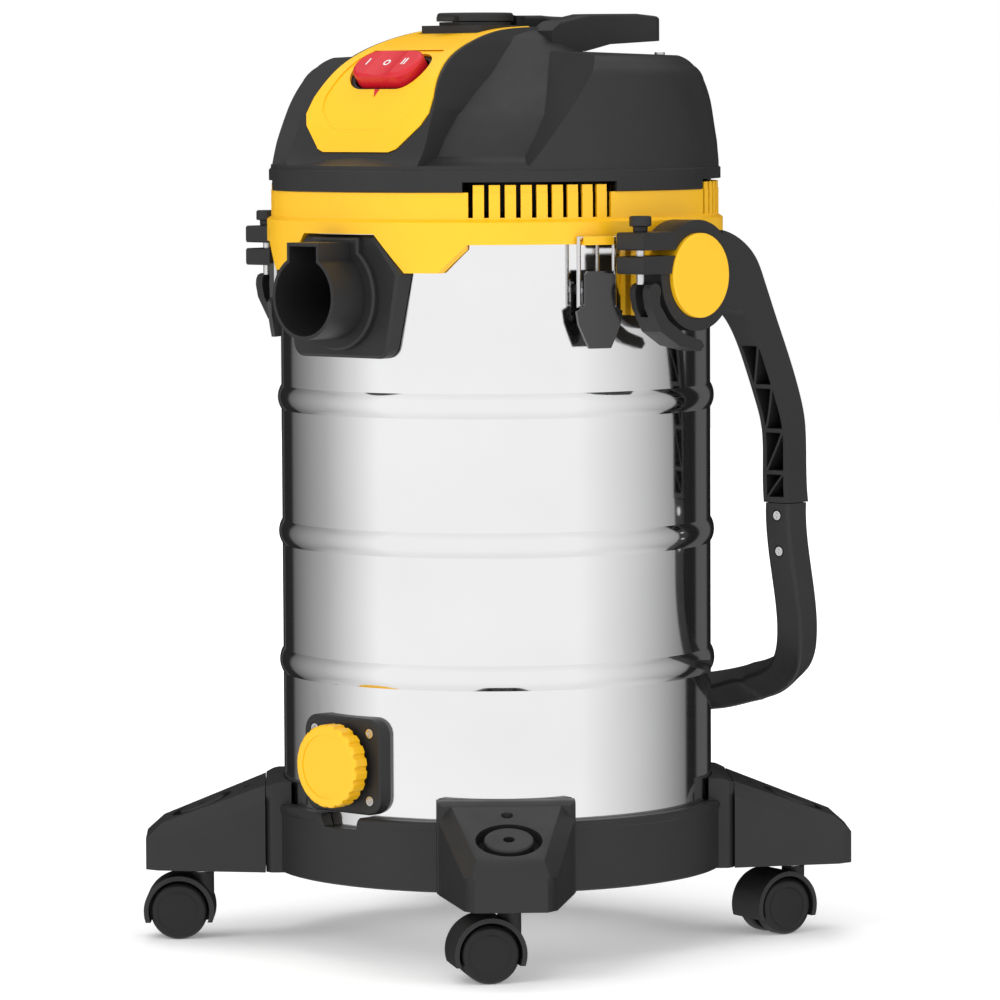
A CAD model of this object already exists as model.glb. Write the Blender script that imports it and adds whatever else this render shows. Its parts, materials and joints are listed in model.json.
import json
import math

import bpy
from mathutils import Matrix, Vector


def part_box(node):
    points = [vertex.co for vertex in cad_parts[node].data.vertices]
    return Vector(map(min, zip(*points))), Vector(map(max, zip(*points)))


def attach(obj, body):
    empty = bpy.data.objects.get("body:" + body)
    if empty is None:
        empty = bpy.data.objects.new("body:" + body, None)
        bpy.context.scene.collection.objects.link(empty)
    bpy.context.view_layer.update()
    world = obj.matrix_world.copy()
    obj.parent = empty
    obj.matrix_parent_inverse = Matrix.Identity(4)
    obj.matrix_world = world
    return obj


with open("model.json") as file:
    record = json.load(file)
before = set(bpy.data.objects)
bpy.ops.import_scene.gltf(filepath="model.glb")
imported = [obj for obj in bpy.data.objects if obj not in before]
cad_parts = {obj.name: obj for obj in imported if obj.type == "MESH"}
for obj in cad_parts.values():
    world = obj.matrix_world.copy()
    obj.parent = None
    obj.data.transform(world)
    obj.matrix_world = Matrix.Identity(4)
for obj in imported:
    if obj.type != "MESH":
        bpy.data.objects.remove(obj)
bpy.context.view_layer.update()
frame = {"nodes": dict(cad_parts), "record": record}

MM = 0.001
NODES = frame["nodes"]

# ---------------------------------------------------------------- camera and studio sizes

CAMERA_TURN = math.radians(43)
CAMERA_DISTANCE = 3.855
CAMERA_HEIGHT = 0.592
AIM_HEIGHT = 0.306
AIM_ASIDE = 0.0025
CAMERA_ROLL = math.radians(0.3)
LENS = 198

TOWARD = Vector((math.sin(CAMERA_TURN), -math.cos(CAMERA_TURN), 0))
ASIDE = Vector((math.cos(CAMERA_TURN), math.sin(CAMERA_TURN), 0))


# ---------------------------------------------------------------- materials

YELLOW = (0.96, 0.52, 0.006)
BLACK = (0.019, 0.019, 0.0195)
RED = (0.6, 0.01, 0.022)
COAT_ROUGHNESS = 0.12
METAL_GRAIN_DEPTH = 0.05 * MM


class Shader:
    """A node material built step by step around one Principled shader."""

    def __init__(self, name):
        self.material = bpy.data.materials.new(name)
        self.material.use_nodes = True
        self.tree = self.material.node_tree
        self.surface = self.tree.nodes["Principled BSDF"]
        self.place = self.add("ShaderNodeTexCoord").outputs["Object"]

    def add(self, kind, **settings):
        item = self.tree.nodes.new(kind)
        for key, value in settings.items():
            setattr(item, key, value)
        return item

    def wire(self, source, target):
        self.tree.links.new(source, target)

    def set(self, **values):
        """Sets the shader's sockets, each named in small letters with underscores."""
        for key, value in values.items():
            self.surface.inputs[key.replace("_", " ").title()].default_value = value
        return self

    def stretched(self, x, y, z):
        """Object coordinates scaled along each axis."""
        mapping = self.add("ShaderNodeMapping")
        mapping.inputs["Scale"].default_value = (x, y, z)
        self.wire(self.place, mapping.inputs["Vector"])
        return mapping.outputs["Vector"]

    def noise(self, scale, detail=3, place=None, roughness=0.5):
        item = self.add("ShaderNodeTexNoise")
        item.inputs["Scale"].default_value = scale
        item.inputs["Detail"].default_value = detail
        item.inputs["Roughness"].default_value = roughness
        self.wire(place or self.place, item.inputs["Vector"])
        return item.outputs["Fac"]

    def ranged(self, value, low, high, start=0.3, end=0.7):
        """A value between start and end, spread from low to high."""
        item = self.add("ShaderNodeMapRange")
        item.inputs["From Min"].default_value = start
        item.inputs["From Max"].default_value = end
        item.inputs["To Min"].default_value = low
        item.inputs["To Max"].default_value = high
        self.wire(value, item.inputs["Value"])
        return item.outputs["Result"]

    def mixed(self, factor, first, second):
        item = self.add("ShaderNodeMix", data_type="RGBA")
        self.wire(factor, item.inputs["Factor"])
        item.inputs["A"].default_value = (*first, 1)
        item.inputs["B"].default_value = (*second, 1)
        return item.outputs["Result"]

    def color(self, output):
        self.wire(output, self.surface.inputs["Base Color"])
        return self

    def rough(self, output):
        self.wire(output, self.surface.inputs["Roughness"])
        return self

    def bump(self, height, strength, distance=0.2 * MM):
        item = self.add("ShaderNodeBump")
        item.inputs["Strength"].default_value = strength
        item.inputs["Distance"].default_value = distance
        self.wire(height, item.inputs["Height"])
        self.wire(item.outputs["Normal"], self.surface.inputs["Normal"])
        return self


def scaled(color, factor):
    return tuple(channel * factor for channel in color)


def plastic(name, color, roughness, grain, grain_depth, coat=0.0, patchiness=0.06, specular=0.5):
    """Moulded plastic: a fine spark-eroded grain, with slow changes of tone and gloss across the piece."""
    shader = Shader(name)
    slow = shader.noise(14, 4)
    fine = shader.noise(grain, 2, roughness=0.6)
    patches = shader.ranged(slow, 0, 1)
    tone = shader.mixed(patches, scaled(color, 1 - patchiness), scaled(color, 1 + patchiness))
    shader.color(tone)
    shader.rough(shader.ranged(shader.noise(45, 3), roughness - 0.05, roughness + 0.05))
    shader.bump(fine, grain_depth)
    shader.surface.inputs["Specular IOR Level"].default_value = specular
    shader.surface.inputs["Coat Weight"].default_value = coat
    shader.surface.inputs["Coat Roughness"].default_value = COAT_ROUGHNESS
    return shader.material


def metal(name, color, roughness, stretch, depth, anisotropic=0.0):
    """Bright metal with a faint grain drawn along one direction."""
    shader = Shader(name)
    shader.set(metallic=1.0, anisotropic=anisotropic)
    lines = shader.noise(1, 4, shader.stretched(*stretch), roughness=0.7)
    slow = shader.noise(9, 3)
    shader.color(shader.mixed(shader.ranged(slow, 0, 1), scaled(color, 0.97), scaled(color, 1.02)))
    shader.rough(shader.ranged(lines, roughness * 0.8, roughness * 1.25))
    shader.bump(lines, depth, METAL_GRAIN_DEPTH)
    return shader.material


def filter_paper():
    shader = Shader("pleated_paper")
    fibre = shader.noise(600, 5, roughness=0.8)
    shader.color(shader.mixed(fibre, (0.62, 0.58, 0.5), (0.8, 0.78, 0.72)))
    shader.rough(shader.ranged(fibre, 0.8, 0.95))
    shader.bump(fibre, 0.5)
    return shader.material


LOOKS = {
    "polished_steel": metal("drum_steel", (0.86, 0.86, 0.865), 0.09, (3, 3, 900), 0.03, 0.2),
    "steel": metal("zinc_steel", (0.72, 0.72, 0.73), 0.24, (400, 400, 400), 0.15),
    "yellow_plastic": plastic("yellow_plastic", YELLOW, 0.38, 2600, 0.10, coat=0.15, patchiness=0.02),
    "black_plastic": plastic("black_plastic", BLACK, 0.42, 2200, 0.22, specular=0.36),
    "gloss_black": plastic("gloss_black", (0.011, 0.011, 0.012), 0.14, 1500, 0.02, coat=0.6),
    "red_plastic": plastic("red_plastic", RED, 0.28, 1800, 0.04, coat=0.2, patchiness=0.03, specular=0.4),
    "rubber": plastic("black_rubber", (0.02, 0.02, 0.02), 0.7, 1400, 0.3),
    "motor_metal": plastic("motor_iron", (0.09, 0.09, 0.1), 0.5, 900, 0.4),
    "white_plastic": plastic("white_plastic", (0.75, 0.75, 0.73), 0.4, 2000, 0.1),
    "filter_paper": filter_paper(),
}
WHEEL = plastic("wheel_plastic", (0.010, 0.010, 0.0105), 0.36, 1600, 0.06, specular=0.3)
MARKING = plastic("white_marking", (0.85, 0.85, 0.85), 0.45, 2000, 0.03)


EDGE = 0.7 * MM
FINE_EDGE = 0.25 * MM
SHARP = math.radians(28)
FLAT = math.radians(0.4)
JOIN_WITHIN = 0.004 * MM
FINE_WORDS = ("screws", "fasteners", "pins", "bail")


def finish_cad_nodes():
    """Every CAD node gets its slot's material, joined faces and slightly rounded edges."""
    slots = {entry["node"]: entry["material_slot"] for entry in frame["record"]["subparts"]}
    for name, item in NODES.items():
        look = WHEEL if "wheel" in name else LOOKS[slots[name]]
        item.data.materials.clear()
        item.data.materials.append(look)
        fine = any(word in name for word in FINE_WORDS)
        smooth_edges(item, FINE_EDGE if fine else EDGE)


def smooth_edges(item, width):
    """Welds a CAD mesh's faces, rounds its sharp edges and shades the rest smoothly."""
    bpy.context.view_layer.objects.active = item
    bpy.ops.mesh.customdata_custom_splitnormals_clear()
    for polygon in item.data.polygons:
        polygon.use_smooth = True
    weld = item.modifiers.new("join_faces", "WELD")
    weld.merge_threshold = JOIN_WITHIN
    flat = item.modifiers.new("merge_flats", "DECIMATE")
    flat.decimate_type = "DISSOLVE"
    flat.angle_limit = FLAT
    bevel = item.modifiers.new("soft_edges", "BEVEL")
    bevel.width = width
    bevel.segments = 2
    bevel.limit_method = "ANGLE"
    bevel.angle_limit = SHARP
    bevel.miter_outer = "MITER_ARC"
    normals = item.modifiers.new("even_shading", "WEIGHTED_NORMAL")
    normals.weight = 80
    normals.keep_sharp = False


# ---------------------------------------------------------------- marks on the switch

SWITCH_SLOPE = math.radians(37)
MARK_REACH = 0.29
MARK_HALF_TALL = 3.4 * MM
MARK_LINE = 1.1 * MM
MARK_THICK = 0.15 * MM
DOUBLE_LINE_SHIFT = 1.2 * MM
RING_HALF_WIDE = 2.9 * MM
RING_HALF_TALL = 3 * MM
RING_SIDES = 32
MARK_LIFT = 0.12 * MM
RAY_START = 0.05
POINTER_GAP = 0.6 * MM
POINTER_HALF = 2.4 * MM
POINTER_LONG = 6 * MM


def bar_outline(x, half_wide, half_long):
    corners = ((-1, -1), (1, -1), (1, 1), (-1, 1))
    return [(x + sx * half_wide, sy * half_long) for sx, sy in corners]


def oval(half_wide, half_tall):
    turns = [2 * math.pi * i / RING_SIDES for i in range(RING_SIDES)]
    return [(half_wide * math.cos(t), half_tall * math.sin(t)) for t in turns]


class Marks:
    """Thin flat shapes laid on a node's sloping surface, in the switch's own frame."""

    def __init__(self, name, node, body, look):
        self.name = name
        self.node = node
        self.body = body
        self.look = look
        self.up = Vector((0, -math.sin(SWITCH_SLOPE), math.cos(SWITCH_SLOPE)))
        self.along = Vector((0, math.cos(SWITCH_SLOPE), math.sin(SWITCH_SLOPE)))
        low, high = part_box("power_switch")
        self.middle = (low + high) / 2
        self.points = []
        self.faces = []

    def laid(self, x, y):
        start = self.middle + Vector((x, 0, 0)) + self.along * y + self.up * RAY_START
        found, place, _, _ = NODES[self.node].ray_cast(start, -self.up)
        return (place if found else start - self.up * RAY_START) + self.up * MARK_LIFT

    def shape(self, outline):
        base = len(self.points)
        self.points.extend(self.laid(*at) for at in outline)
        self.faces.append(tuple(range(base, base + len(outline))))

    def ring(self, outer, inner):
        base = len(self.points)
        count = len(outer)
        self.points.extend(self.laid(*at) for at in outer + inner)
        for i in range(count):
            j = (i + 1) % count
            self.faces.append((base + i, base + j, base + count + j, base + count + i))

    def finish(self):
        mesh = bpy.data.meshes.new(self.name)
        mesh.from_pydata(self.points, [], self.faces)
        item = bpy.data.objects.new(self.name, mesh)
        bpy.context.scene.collection.objects.link(item)
        item.data.materials.append(self.look)
        thick = item.modifiers.new("paint", "SOLIDIFY")
        thick.thickness = MARK_THICK
        thick.offset = 1
        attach(item, self.body)


def build_switch_marks():
    """The line, ring and double line in white on the rocker's face."""
    low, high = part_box("power_switch")
    reach = (high.x - low.x) * MARK_REACH
    half = MARK_LINE / 2
    marks = Marks("switch_marks", "power_switch", "power_switch", MARKING)
    marks.shape(bar_outline(-reach, half, MARK_HALF_TALL))
    for shift in (-DOUBLE_LINE_SHIFT, DOUBLE_LINE_SHIFT):
        marks.shape(bar_outline(reach + shift, half, MARK_HALF_TALL))
    outer = oval(RING_HALF_WIDE, RING_HALF_TALL)
    inner = oval(RING_HALF_WIDE - MARK_LINE, RING_HALF_TALL - MARK_LINE)
    marks.ring(outer, inner)
    marks.finish()


def build_switch_pointer():
    """The small red pointer on the panel, just below the rocker's middle position."""
    low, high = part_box("power_switch")
    start = -(high.y - low.y) / 2 / math.cos(SWITCH_SLOPE) - POINTER_GAP
    pointer = Marks("switch_pointer", "control_panel", "vacuum", LOOKS["red_plastic"])
    pointer.shape([(-POINTER_HALF, start), (0, start - POINTER_LONG), (POINTER_HALF, start)])
    pointer.finish()


# ---------------------------------------------------------------- studio

FLOOR_HALF = 6
FLOOR_GLOW = (0.22, 0.6)
FLOOR_FADE = (0.5, 2.5)
BACKDROP_SIDES = 48
BACKDROP_RADIUS = 5.8
BACKDROP_FOOT = -0.5
BACKDROP_TOP = 9


def emitter(name, color, strength):
    material = bpy.data.materials.new(name)
    material.use_nodes = True
    tree = material.node_tree
    tree.nodes.clear()
    glow = tree.nodes.new("ShaderNodeEmission")
    glow.inputs["Color"].default_value = (*color, 1)
    glow.inputs["Strength"].default_value = strength
    out = tree.nodes.new("ShaderNodeOutputMaterial")
    tree.links.new(glow.outputs[0], out.inputs["Surface"])
    return material


def square_object(name, half):
    mesh = bpy.data.meshes.new(name)
    corners = [(-half, -half, 0), (half, -half, 0), (half, half, 0), (-half, half, 0)]
    mesh.from_pydata(corners, [], [(0, 1, 2, 3)])
    item = bpy.data.objects.new(name, mesh)
    bpy.context.scene.collection.objects.link(item)
    return item


def build_floor():
    floor = square_object("floor", FLOOR_HALF)
    shader = Shader("floor_paper")
    tone = shader.noise(3, 3)
    shader.color(shader.mixed(tone, (0.9, 0.9, 0.9), (0.94, 0.94, 0.94)))
    shader.set(roughness=0.9, emission_color=(1, 1, 1, 1))
    away = shader.add("ShaderNodeVectorMath", operation="LENGTH")
    shader.wire(shader.place, away.inputs[0])
    glow = shader.ranged(away.outputs["Value"], *FLOOR_GLOW, *FLOOR_FADE)
    shader.wire(glow, shader.surface.inputs["Emission Strength"])
    floor.data.materials.append(shader.material)
    floor.visible_glossy = False


def build_backdrop():
    """A white surround that only the camera sees: the world lights the object."""
    points, faces = [], []
    for i in range(BACKDROP_SIDES):
        turn = 2 * math.pi * i / BACKDROP_SIDES
        for z in (BACKDROP_FOOT, BACKDROP_TOP):
            points.append((BACKDROP_RADIUS * math.cos(turn), BACKDROP_RADIUS * math.sin(turn), z))
    for i in range(BACKDROP_SIDES):
        a, b = 2 * i, 2 * ((i + 1) % BACKDROP_SIDES)
        faces.append((a, b, b + 1, a + 1))
    faces.append(tuple(2 * i + 1 for i in range(BACKDROP_SIDES)))
    mesh = bpy.data.meshes.new("backdrop")
    mesh.from_pydata(points, [], faces)
    item = bpy.data.objects.new("backdrop", mesh)
    bpy.context.scene.collection.objects.link(item)
    item.data.materials.append(emitter("backdrop_white", (1, 1, 1), 1.0))
    for ray in ("diffuse", "glossy", "transmission", "shadow", "volume_scatter"):
        setattr(item, "visible_" + ray, False)


# how bright the studio is around the object, by the angle from the camera, to the right
SURROUND = [
    (-180, 0.015), (-166, 0.02), (-163, 0.10), (-160, 0.02), (-143, 0.02), (-140, 0.13),
    (-104, 0.44), (-66, 1.0), (45, 1.0), (80, 0.66), (121, 0.2), (122.5, 0.015),
    (134, 0.015), (136, 0.1), (154, 0.1), (157, 0.012), (180, 0.012),
]


SKY_FROM = 0.45
SKY_FULL = 0.85
SKY_TONE = (0.9, 0.9, 0.9, 1)


def build_world():
    world = bpy.data.worlds.new("studio")
    bpy.context.scene.world = world
    world.use_nodes = True
    tree = world.node_tree
    background = tree.nodes["Background"]
    coordinates = tree.nodes.new("ShaderNodeTexCoord").outputs["Generated"]

    def dotted(vector):
        item = tree.nodes.new("ShaderNodeVectorMath")
        item.operation = "DOT_PRODUCT"
        item.inputs[1].default_value = vector
        tree.links.new(coordinates, item.inputs[0])
        return item.outputs["Value"]

    def maths(operation, first, second):
        item = tree.nodes.new("ShaderNodeMath")
        item.operation = operation
        for socket, value in zip(item.inputs, (first, second)):
            if isinstance(value, (int, float)):
                socket.default_value = value
            else:
                tree.links.new(value, socket)
        return item.outputs["Value"]

    turn = maths("ARCTAN2", dotted(ASIDE), dotted(TOWARD))
    share = maths("MULTIPLY_ADD", turn, 1 / (2 * math.pi))
    share.node.inputs[2].default_value = 0.5
    ramp = tree.nodes.new("ShaderNodeValToRGB")
    ramp.color_ramp.interpolation = "LINEAR"
    stops = ramp.color_ramp.elements
    while len(stops) > 1:
        stops.remove(stops[-1])
    for i, (angle, level) in enumerate(SURROUND):
        stop = stops[0] if i == 0 else stops.new(angle / 360 + 0.5)
        stop.position = angle / 360 + 0.5
        stop.color = (level, level, level, 1)
    tree.links.new(share, ramp.inputs["Fac"])
    rise = tree.nodes.new("ShaderNodeMapRange")
    rise.inputs["From Min"].default_value = SKY_FROM
    rise.inputs["From Max"].default_value = SKY_FULL
    tree.links.new(maths("ABSOLUTE", dotted((0, 0, 1)), 0), rise.inputs["Value"])
    sky = tree.nodes.new("ShaderNodeMix")
    sky.data_type = "RGBA"
    tree.links.new(rise.outputs["Result"], sky.inputs["Factor"])
    tree.links.new(ramp.outputs["Color"], sky.inputs["A"])
    sky.inputs["B"].default_value = SKY_TONE
    tree.links.new(sky.outputs["Result"], background.inputs["Color"])
    background.inputs["Strength"].default_value = 1.0


LIGHT_AIM = Vector((0, 0, 0.32))


def softbox(name, turn, height, distance, half_wide, half_high, power):
    """An area light aimed at the object, placed by its angle from the camera to the right."""
    light = bpy.data.lights.new(name, "AREA")
    light.shape = "RECTANGLE"
    light.size, light.size_y = 2 * half_wide, 2 * half_high
    light.energy = power
    item = bpy.data.objects.new(name, light)
    bpy.context.scene.collection.objects.link(item)
    angle = math.radians(turn)
    away = TOWARD * math.cos(angle) + ASIDE * math.sin(angle)
    item.location = away * distance + Vector((0, 0, height))
    aim = LIGHT_AIM - item.location
    item.rotation_euler = aim.to_track_quat("-Z", "Y").to_euler()
    return item


def build_lights():
    lights = [
        softbox("key", -38, 2.3, 2.8, 0.7, 0.7, 26),
        softbox("fill", 52, 1.7, 3.0, 0.8, 0.8, 10),
        softbox("overhead", 180, 3.0, 0.9, 1.2, 1.0, 30),
    ]
    for light in lights:
        light.visible_glossy = False


def build_camera():
    camera = bpy.data.cameras.new("camera")
    camera.lens = LENS
    camera.sensor_width = 36
    item = bpy.data.objects.new("camera", camera)
    bpy.context.scene.collection.objects.link(item)
    level = math.sqrt(CAMERA_DISTANCE ** 2 - (CAMERA_HEIGHT - AIM_HEIGHT) ** 2)
    aim = ASIDE * AIM_ASIDE + Vector((0, 0, AIM_HEIGHT))
    item.location = aim + TOWARD * level + Vector((0, 0, CAMERA_HEIGHT - AIM_HEIGHT))
    look = (aim - item.location).to_track_quat("-Z", "Y")
    item.rotation_euler = (look.to_matrix() @ Matrix.Rotation(-CAMERA_ROLL, 3, "Z")).to_euler()
    bpy.context.scene.camera = item


# ---------------------------------------------------------------- the scene

bpy.context.scene.view_settings.view_transform = "Standard"
finish_cad_nodes()
build_switch_marks()
build_switch_pointer()
build_floor()
build_backdrop()
build_world()
build_lights()
build_camera()
